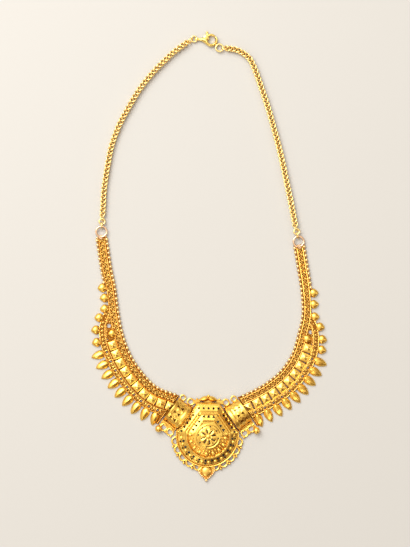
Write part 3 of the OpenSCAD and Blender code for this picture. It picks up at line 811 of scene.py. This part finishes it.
# End rings. A ring of redder gold wire is soldered to a short post on each
# wing's upper end, and the chain's jump rings hang from it.
rose_gold = gold_finish("rose_gold", (0.97, 0.68, 0.45), (0.6, 0.26, 0.12), roughness=0.24,
                        reach=0.0008, grain_scale=900, grain_depth=0.00002)
end_ring_r, end_ring_wire, end_ring_reach, end_ring_z = 2.45, 0.44, 4.75, 1.45
post_r, post_top, post_foot = 0.95, 1.55, 0.2
chain_routes = {
    "left": [(-6, 102.2), (-8.5, 101), (-12, 98.5), (-17, 94.5), (-24.5, 87), (-31, 79),
             (-36.5, 70), (-41, 61.5), (-44.5, 52), (-46.5, 42), (-48, 32), (-48.5, 24),
             (-49, 16.5)],
    "right": [(6, 98.2), (9.5, 98), (15, 97), (20, 93.5), (23, 87.5), (26, 79), (29, 70),
              (32, 59.5), (35, 48), (37.5, 36.5), (40, 24.5), (42.5, 12)]}
for name, side in sides.items():
    chain_course = Course(smooth_line(chain_routes[name] + middle_shift), side)
    chain_end = chain_routes[name][-1] + middle_shift
    ahead = towards(chain_course.heading(chain_course.length - 0.3))
    ring_at = chain_end + end_ring_reach * ahead
    post_at = chain_end + (end_ring_reach + end_ring_r) * ahead
    post = sawn_plate(ring_of(post_at, post_r, 16), [], spacing=0.6, top=post_top, bottom=post_foot)
    ring = stamped(wire_ring(end_ring_r, end_ring_wire, 36, 12), spots_on(ring_at, end_ring_z, 1))
    piece(f"end_ring_of_wing_{name}", [ring, post], rose_gold)


# The centrepiece's sheet. A dome about 28 mm wide, raised from thin gold
# sheet and pierced: round below, with three flat-sided panels above that are
# stepped by ribs. In its middle is a flower with eight slots.
dome_r, dome_h, rim_r = 21.5, 7.0, 14.6
dome_sheet, dome_foot, dome_spacing = 0.6, 0.2, 0.19
panel_turns = [sleeve_turn, math.pi / 2, math.pi - sleeve_turn]
panel_far = {"side": 13.2, "top": 15.3}
flower_rings = [(0.3, 5.4, 0.26), (0.2, 4.2, 0.25)]  # ribs: height, distance, width
round_ribs = [(0.5, 10, 0.34), (-0.3, 9.4, 0.25), (0.35, 13.7, 0.35)]
panel_ribs = [(0.34, 6.3, 0.22), (0.4, 8.9, 0.22), (0.34, 9.9, 0.22), (0.4, 12.7, 0.3)]
flower_boss, petal_height = [(0.3, 0, 0.8)], 0.34
petal_turn = math.radians(13.5)


def dome_z(r):
    return np.sqrt(dome_r ** 2 - np.square(r)) - dome_r + dome_h


def smooth_step(x, low, high):
    t = np.clip((x - low) / (high - low), 0, 1)
    return t * t * (3 - 2 * t)


def panel_share(p):
    """1 on the flat-sided upper half, 0 on the round lower half."""
    r = np.linalg.norm(p, axis=1)
    return smooth_step(p[:, 1] / np.maximum(r, 0.1), -0.05, 0.3) * smooth_step(r, 5.4, 7.2)


def dome_distance(p):
    """Distance from the middle, counted square to the panels above."""
    r = np.linalg.norm(p, axis=1)
    flat = np.max([p @ np.array([math.cos(sleeve_turn), math.sin(sleeve_turn)]),
                   p[:, 1] * panel_far["side"] / panel_far["top"],
                   p @ np.array([-math.cos(sleeve_turn), math.sin(sleeve_turn)])], axis=0)
    share = panel_share(p)
    return r * (1 - share) + flat * share


def ribs(x, profile):
    """Height of raised or sunk ribs across x."""
    return sum(height * np.exp(-np.square((x - at) / width)) for height, at, width in profile)


def centre_top(p):
    """Height of the pierced dome, with its ribs, rings and petals."""
    r = np.linalg.norm(p, axis=1)
    angle = np.arctan2(p[:, 1], p[:, 0])
    far = dome_distance(p)
    panels = panel_share(p)
    z = dome_z(np.minimum(far, rim_r))
    z += ribs(r, flower_rings)
    z += (1 - panels) * ribs(r, round_ribs)
    z += panels * ribs(far, panel_ribs)
    petal = 0.5 - 0.5 * np.cos(8 * (angle - petal_turn))
    z += petal_height * petal * smooth_step(r, 0.9, 1.8) * (1 - smooth_step(r, 3.5, 4))
    z += ribs(r, flower_boss)
    return z


def arc(radius, start, end, count, centre=(0, 0)):
    return np.array(centre) + radius * towards(np.radians(np.linspace(start, end, count)))


def petal_slot(start, end, half, turn):
    """A round-ended slot that points away from the middle."""
    ring = np.concatenate([arc(half, -90, 90, 5, (end, 0)),
                           arc(half * 0.6, 90, 270, 5, (start, 0))])
    c, s = math.cos(turn), math.sin(turn)
    return ring @ np.array([[c, s], [-s, c]])


def panel_axes(turn):
    """A panel's directions outwards and along its ribs, and how far its rows
    of holes are shifted towards the round half."""
    out = towards(turn)
    lean = 0 if turn == math.pi / 2 else math.copysign(0.8, math.pi / 2 - turn)
    return out, np.array([-out[1], out[0]]), lean


corner_x = (panel_far["side"] - panel_far["top"] * math.sin(sleeve_turn)) / math.cos(sleeve_turn)
low_corner = (14.36, 2.61)
corners = [low_corner, (corner_x, panel_far["top"]), (-corner_x, panel_far["top"]),
           (-low_corner[0], low_corner[1])]
straight = np.concatenate([np.linspace(a, b, 20, endpoint=False)
                           for a, b in zip(corners[:-1], corners[1:])])
centre_outline = np.concatenate([arc(rim_r, -190, 10, 90), straight, [corners[-1]]])
flower_hole_at, flower_hole_r = 4.8, 0.4
hole_pitch, triangle_r, small_triangle_r, round_hole_r = 2.3, 0.98, 0.5, 0.56
band_hole_turn, band_hole_pitch = math.radians(266.2), math.radians(14.8)
band_holes = [(11.6, 0.6), (13, 0.5)]  # distance, radius
centre_holes = [petal_slot(start=1.7, end=3.3, half=0.34, turn=petal_turn + k * math.pi / 4)
                for k in range(8)]
centre_holes += [ring_of(flower_hole_at * towards(a), flower_hole_r, 6, a)
                 for a in petal_turn + math.pi / 8 + np.arange(8) * math.pi / 4]
for turn in panel_turns:
    out, by, lean = panel_axes(turn)
    top = turn == math.pi / 2
    triangles_at, rounds_at = (9.2, 13) if top else (7.6, 11.4)
    for k in (-1, 0, 1):
        at = triangles_at * out + (hole_pitch * k + lean) * by
        centre_holes.append(ring_of(at, triangle_r, 3, turn))
    for k in (-1.95, 1.95) if top else ():
        at = (triangles_at + 0.5) * out + hole_pitch * k * by
        centre_holes.append(ring_of(at, small_triangle_r, 3, turn))
    for k in range(-2, 3):
        at = rounds_at * out + (hole_pitch * k - lean) * by
        centre_holes.append(ring_of(at, round_hole_r, 8))
for k in range(-5, 7):
    out = towards(band_hole_turn + band_hole_pitch * k)
    centre_holes += [ring_of(at * out, r, 10) for at, r in band_holes]
points, tris = cut_sheet(centre_outline, centre_holes, dome_spacing)
top = centre_top(points)
under = top - dome_sheet
under[:len(centre_outline)] = dome_foot
dome = thick(points, tris, on_centre(lifted(points, top)), on_centre(lifted(points, under)))
# The dome's sawn edges and underside take the darker plate gold, painted shade.
made = piece("centre_dome", [dome], bright_gold, sharp=50, painted_shade_from=len(tris))
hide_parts("centre")


# The centrepiece's grains. Large gold grains stand round below the flower,
# with small ones between them. In the lower band and along the two slanting
# panels one is soldered between each two holes.
def round_spot(r, a, z, size, turn=0.0):
    """A spot for stamped() at a distance and a direction from the middle."""
    return r * math.cos(a), r * math.sin(a), z, size, turn


def drawn(shape, sizes, shift=(0, 0, 0)):
    """A shape drawn out or flattened along its axes, then moved."""
    return shape[0] * np.array(sizes) + np.array(shift), shape[1]


def centred(parts):
    """Parts carried from the centrepiece's own axes to the necklace's."""
    return [(on_centre(v), f) for v, f in parts]


petal_grain_turn, petal_grain_pitch = math.radians(265.5), math.radians(22.5)
petal_grain_at, inner_seed_at, band_grain_at, edge_seed_at = 8.2, 6.75, 12.25, 13.95
between_petals = [(7.1, 0.52), (8.5, 0.4)]  # distance, size
seeds, petals, band_grains = [], [], []
for k in range(-4, 5):
    a = petal_grain_turn + petal_grain_pitch * k
    petals.append(round_spot(petal_grain_at, a, dome_z(petal_grain_at) + 0.05, 1, a))
    seeds.append(round_spot(inner_seed_at, a, dome_z(inner_seed_at) + 0.05, 0.34))
    for r, size in between_petals if k < 4 else ():
        seeds.append(round_spot(r, a + petal_grain_pitch / 2, dome_z(r) + 0.05, size))
for k in range(-6, 7):
    a = band_hole_turn + band_hole_pitch * (k + 0.5)
    band_grains.append(round_spot(band_grain_at, a, dome_z(band_grain_at) - 0.1, 0.86, a))
for turn in (panel_turns[0], panel_turns[-1]):
    out, by, lean = panel_axes(turn)
    for k in range(-3, 3):
        at = band_grain_at * out + (hole_pitch * (k + 0.5) - lean) * by
        seeds += spots_on(at, centre_top(at[None])[0] - 0.15, 0.78)
    for along in np.arange(-6.5, 6.6, 1.3):
        at = edge_seed_at * out + along * by
        if np.linalg.norm(at) < 15.4:
            seeds += spots_on(at, centre_top(at[None])[0] + 0.1, 0.45)
grain_ball = ball(7, 12)
long_seed = drawn(grain_ball, (1.2, 0.86, 0.72))
broad_seed = drawn(grain_ball, (1, 1.05, 0.62))
piece("centre_grains", centred([stamped(long_seed, petals), stamped(broad_seed, band_grains),
                                stamped(seed, seeds)]), bright_gold)


# The centrepiece's border. A gold frame wire, a row of soldered wire loops
# round the lower half with a grain between each two, and larger loops at the
# upper corners.
loop_step, loop_at, loop_wire, loop_z = math.radians(15.8), 15.0, 0.46, 0.62
corner_loop_x, corner_loop_y, corner_loop_size = 8.28, 15.68, 0.8
border_bead_at, border_bead_z, border_bead_r = 16.9, 0.75, 0.6
straight_down = 1.5 * math.pi
loop = wire_ring(1.82, loop_wire, 24, 8)
border, border_beads = [], []
for k in range(-5, 6):
    if k:
        a = straight_down + k * loop_step
        border.append(round_spot(loop_at, a, loop_z, 1, a))
for x in (-corner_loop_x, corner_loop_x):
    border.append((x, corner_loop_y, loop_z, corner_loop_size, 0))
for k in np.arange(-4.5, 5):
    if abs(k) > 1:
        border_beads.append(round_spot(border_bead_at, straight_down + k * loop_step,
                                       border_bead_z, border_bead_r))
rim_line = arc(rim_r - 0.1, -190, 10, 90)
rim_wires = [wire(lifted(rim_line, z), r, 8) for z, r in [(1.62, 0.34), (0.45, 0.42)]]
piece("centre_border", centred([stamped(loop, border), *rim_wires,
                                stamped(bead, border_beads)]), bright_gold)


# The top ornament. Two small gold leaves meet under a round knob, soldered
# on a narrow pierced strip with grains along its upper edge.
strip_outline = [(-6.9, 14.8), (6.9, 14.8), (6.8, 16.3), (4.4, 17), (2.2, 17.6), (0, 18),
                 (-2.2, 17.6), (-4.4, 17), (-6.8, 16.3)]
strip_holes = [[(x - 1.2, 15.55), (x + 1.2, 15.55), (x + 0.8, 16.1), (x - 0.8, 16.1)]
               for x in (-2.9, 2.9)]
strip = sawn_plate(strip_outline, strip_holes, spacing=0.7, top=1.1, bottom=0.2)
small_leaf = leaf_shape(length=4.7, half=1.25)
leaf_spots = [(-2.1, 17.1, 0.75, 1, math.pi + 0.25), (2.1, 17.1, 0.75, 1, -0.25)]
edge_beads = [(-5.3, 17, 0.9, 0.52, 0), (5.3, 17, 0.9, 0.52, 0), (-6.6, 16.5, 0.9, 0.36, 0),
              (6.6, 16.5, 0.9, 0.36, 0), (0, 18.5, 1.2, 0.66, 0)]
piece("top_ornament", centred([strip, stamped(small_leaf, leaf_spots),
                               stamped(bead, edge_beads)]), bright_gold)


# The bottom drop. A shield-shaped plate of gold sheet is soldered under the
# dome, with a smooth boss, a row of small grains along both edges and a round
# bead at its tip.
drop_edge = [(3.9, -13.9), (3.9, -15.8), (3.5, -17.1), (2.7, -18.3), (1.5, -19.5), (0.0, -20.6)]
drop_outline = drop_edge + [(-x, y) for x, y in drop_edge[-2::-1]]
plate = sawn_plate(drop_outline, [], spacing=0.8, top=0.75, bottom=0.05)
boss_verts, boss_faces = ball(12, 20)
half_ball = (np.maximum(boss_verts, [-1, -1, -0.1]), boss_faces)
boss = drawn(half_ball, (2.55, 2.7, 1.35), (0, -16.9, 0.7))
drop_course = Course(np.concatenate([np.linspace(a, b, 8, endpoint=False) for a, b in
                                     zip(drop_outline[1:-2], drop_outline[2:-1])]), 1)
edge_spots = spots_on(drop_course.spot(np.arange(0, drop_course.length, 0.9)), 0.8, 0.46)
edge_spots.append((0, -20.95, 0.8, 0.74, 0))
piece("bottom_drop", centred([plate, boss]), band_gold)
piece("drop_beads", centred([stamped(bead, edge_spots)]), bead_gold)


# Sleeves. A half-round sleeve of pierced gold sheet on each upper side of the
# dome, with a raised rim towards it, rows of triangles cut through, and a
# looped flange along each foot. The wing's end runs in under it.
sleeve_r, sleeve_sheet, sleeve_length = 6.1, 0.6, sleeve_to - sleeve_from
half_round = math.radians(88) * sleeve_r
sleeve_triangles = [(3.7, (-31, 0, 30), 0), (6.05, (-68, -31, 0, 30), math.pi)]
outer_loop_t, inner_loop_t = -9.1, 7.3


def sleeve_outer(u, b):
    """Outer radius of the sleeve, at u along it and b round it."""
    r = sleeve_r + 0.34 * (1 - smooth_step(u, 1.7, 2.05)) * smooth_step(u, -0.1, 0.25)
    r += ribs(u, [(0.14, 7.6, 0.25)])
    weave = np.cos(math.pi * (u - 3.7) / 1.18) * np.cos(math.pi * b / 1.6)
    return r + 0.12 * weave * smooth_step(u, 2.2, 2.6) * (1 - smooth_step(u, 6.9, 7.3))


def beside_sleeve(points, z, side):
    """Flat points that start at the sleeve's inner end, at the heights z."""
    return lifted(beside_dome(points + [sleeve_from, 0], side), z)


def round_the_sleeve(points, radius, side):
    """From the unrolled sleeve to its place beside the dome."""
    a = points[:, 1] / sleeve_r
    flat = np.column_stack([points[:, 0], radius * np.sin(a)])
    return beside_sleeve(flat, radius * np.cos(a), side)


outline = np.array([(0, -half_round), (sleeve_length, -half_round),
                    (sleeve_length, half_round), (0, half_round)])
long_edges = [np.linspace(a, b, n, endpoint=False) for a, b, n in
              zip(outline, np.roll(outline, -1, axis=0), (14, 34, 14, 34))]
holes = [ring_of((u, math.radians(a) * sleeve_r), triangle_r, 3, turn)
         for u, angles, turn in sleeve_triangles for a in angles]
points, tris = cut_sheet(np.concatenate(long_edges), holes, 0.34)
outer = sleeve_outer(points[:, 0], points[:, 1])
flange_run = np.linspace(0.3, sleeve_length - 0.3, 12)
flange_wires = [wire([(u, t, 0.45) for u in flange_run], r, 8)
                for t, r in [(-6.6, 0.42), (-8.0, 0.36)]]
flange_loops = stamped(loop, [(1.6, outer_loop_t, loop_z, 0.86, 0),
                              (5.3, outer_loop_t, loop_z, 0.86, 0),
                              (6.4, inner_loop_t, loop_z, 0.68, 0)])
flange_balls = stamped(bead, [(3.45, outer_loop_t - 1.3, 0.75, 0.56, 0),
                              (0.1, outer_loop_t - 1.6, 0.75, 0.46, 0),
                              (6.9, outer_loop_t - 1.95, 1.7, 1.68, 0)])
corner_web = sawn_plate(ring_of((7.1, outer_loop_t - 0.2), 0.85, 16), [],
                        spacing=0.6, top=0.62, bottom=0.05)
flange_plate = sawn_plate([(0.2, -8.2), (sleeve_length - 0.2, -8.2), (sleeve_length - 0.2, -6.2),
                           (0.2, -6.2)], [], spacing=0.8, top=0.6, bottom=0.05)
flange_parts = [*flange_wires, flange_loops, flange_balls, corner_web, flange_plate]
for name, side in sides.items():
    parts = [thick(points, tris, round_the_sleeve(points, outer, side),
                   round_the_sleeve(points, sleeve_r - sleeve_sheet, side))]
    parts += [(beside_sleeve(v[:, :2], v[:, 2], side), f) for v, f in flange_parts]
    if side < 0:
        parts = [(v, [face[::-1] for face in f]) for v, f in parts]
    # The sleeve's sawn edges and inside take the darker plate gold, painted shade.
    made = piece(f"sleeve_sheet_{name}", parts, bright_gold, sharp=40, painted_shade_from=len(tris))
    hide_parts(f"sleeve_{name}")


# The clasp. A cast lever clasp in yellow gold: a hook that narrows to its
# tip and swells into a flat shank with an eyelet, two cheeks over the rivet,
# and the sprung lever between them with its thumb knob.
clasp_gold = gold_finish("clasp_gold", (1, 0.78, 0.24), (0.8, 0.4, 0.06), roughness=0.2,
                         reach=0.001, grain_scale=700, grain_depth=0.00002)
clasp_at = np.array([2.1, 101.8]) + middle_shift
clasp_turn = math.radians(-3)
hook_r, clasp_mid = 2.45, 1.2
rivet_x, rivet_y = -2.15, 1.3


def on_clasp(parts):
    """Parts carried from the clasp's own axes to the necklace's."""
    return [stamped(part, [(*clasp_at, 0, 1, clasp_turn)]) for part in parts]


def bent_bar(start, end, width_at, height_at, count=40):
    """A bar along the hook's circle, its half width and height by share."""
    share = np.linspace(0, 1, count)
    tip = np.sqrt(np.clip(1 - np.square(np.clip(1 - share / 0.05, 0, 1)), 0.02, 1))
    width = tip * np.interp(share, *width_at)
    height = tip * np.interp(share, *height_at)
    return wire(lifted(arc(hook_r, start, end, count), clasp_mid), width, 14, rise=height / width)


hook = bent_bar(47.3, -170, ([0, 0.3, 1], [0.52, 0.62, 0.7]), ([0, 0.2, 1], [0.8, 1.02, 1.05]))
shank_line = [(-1.8, -0.85, 1.2), (-2.2, -0.72, 1.2), (-2.8, -0.38, 1.2), (-3.4, -0.1, 1.17),
              (-4.2, 0, 1.1), (-5.2, 0, 1.03), (-6.1, 0, 1)]
shank_half = np.array([1.15, 1.2, 1.2, 1.12, 0.88, 0.68, 0.62])
shank_high = np.array([0.9, 1.05, 1.05, 1.03, 0.98, 0.92, 0.85])
shank = wire(shank_line, shank_half, 16, rise=shank_high / shank_half)
round_ball = ball(10, 18)
cheeks = [drawn(round_ball, (1.35, 1.3, 0.25), (-2.4, 0.95, z)) for z in (0.42, 1.98)]
eyelet, eyelet_faces = wire_ring(0.8, 0.16, 24, 10)
eyelet = np.column_stack([eyelet[:, 0] - 6.75, eyelet[:, 2] * 3.4, eyelet[:, 1] + 1])
clasp_parts = [hook, shank, (eyelet, eyelet_faces), *cheeks]
made = piece("clasp_body", on_clasp(clasp_parts), clasp_gold)
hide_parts("clasp_hook")

lever_bar = bent_bar(49.5, 158, ([0, 0.4, 1], [0.44, 0.5, 0.56]), ([0, 0.2, 1], [0.44, 0.5, 0.5]))
lever_root = drawn(round_ball, (0.82, 0.82, 0.5), (rivet_x, rivet_y, clasp_mid))
knob = drawn(round_ball, (0.66, 0.6, 0.52), (-2.1, 3.35, clasp_mid))
neck_line = lifted([(-1.75, 1.9), (-1.95, 2.6), (-2.08, 3.2)], clasp_mid)
neck = wire(neck_line, [0.62, 0.5, 0.42], 12, rise=0.8)
made = piece("clasp_thumb_lever", on_clasp([lever_bar, lever_root, knob, neck]), clasp_gold,
             body="lever")
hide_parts("clasp_lever")


# Chains and rings. The chains' links, the jump rings and the clasp's rivet
# keep their CAD solids. They are of plain drawn gold wire, each link bent
# round and closed, and hang loose in the next.
wire_gold = gold_finish("wire_gold", (1, 0.82, 0.36), (1, 0.62, 0.18), roughness=0.3,
                        reach=0.0006, grain_scale=900, grain_depth=0.00002)
for node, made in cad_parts.items():
    finish = clasp_gold if node.startswith("clasp") else wire_gold
    if made.data.materials:
        for i in range(len(made.data.materials)):
            made.data.materials[i] = finish
    else:
        made.data.materials.append(finish)
